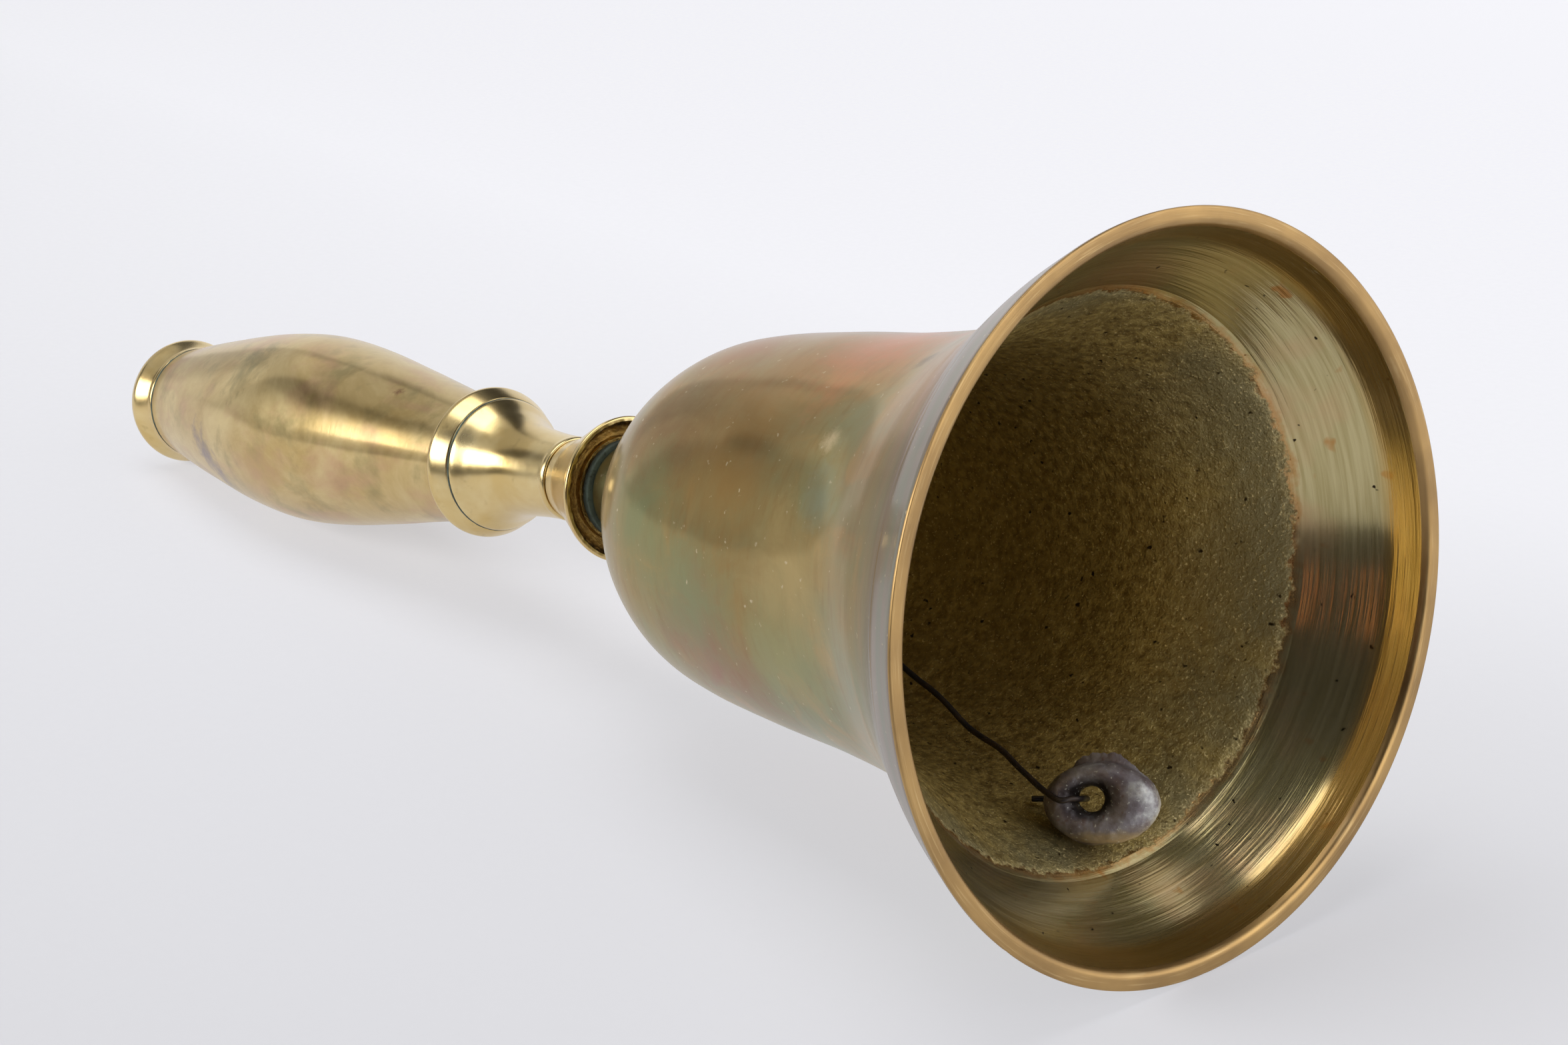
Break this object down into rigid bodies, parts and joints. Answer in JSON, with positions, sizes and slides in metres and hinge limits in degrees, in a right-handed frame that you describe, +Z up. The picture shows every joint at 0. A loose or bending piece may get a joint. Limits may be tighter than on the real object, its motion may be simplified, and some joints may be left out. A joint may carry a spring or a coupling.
{
  "type": "hand bell",
  "caption": "Brass hand bell lying on its side: flared bell, turned handle on a tie rod, and a lead ring clapper hung on a stiff wire.",
  "frame": {"origin": "centre of the lying bell's bounding box, on the floor", "axes": "+X along the lying bell towards its mouth, +Z up; the bell's own axis leans 7.75 degrees up towards the mouth in the XZ plane"},
  "size_m": [0.2837, 0.1, 0.0991],
  "materials": {
    "bell_brass": "tarnished satin outside, rough cast inside, turned band at the mouth",
    "handle_brass": "turned and polished, light tarnish in the seams",
    "grip_brass": "satin, mottled by handling",
    "verdigris": "green-grey corrosion",
    "rod_steel": "dull, lightly rusted",
    "iron_wire": "black oxide",
    "lead": "dull grey with white oxide"
  },
  "bodies": {
    "bell": {"bell_shell": "bell_brass", "crown_washer": "verdigris", "cup_flange": "handle_brass", "stem": "handle_brass", "collar_ring": "handle_brass", "barrel_grip": "grip_brass", "end_cap": "handle_brass", "tie_rod": "rod_steel", "inner_washer": "rod_steel", "inner_nut": "rod_steel"},
    "swivel": {"clapper_eye": "iron_wire"},
    "clapper": {"clapper_wire": "iron_wire"},
    "weight": {"clapper_ring": "lead"}
  },
  "joints": [
    {"name": "eye_swivel", "type": "hinge", "parent": "bell", "child": "swivel", "pos_m": [0.04059, 0, 0.03668], "axis": [0.9909, 0, 0.1348], "continuous": true},
    {"name": "clapper_swing", "type": "hinge", "parent": "swivel", "child": "clapper", "pos_m": [0.04059, 0, 0.03668], "axis": [0, -1, 0], "range_deg": [0, 41]},
    {"name": "weight_swing", "type": "hinge", "parent": "clapper", "child": "weight", "pos_m": [0.11944, -0.00109, 0.01709], "axis": [0.4711, -0.785, 0.4022], "range_deg": [0, 60]}
  ]
}
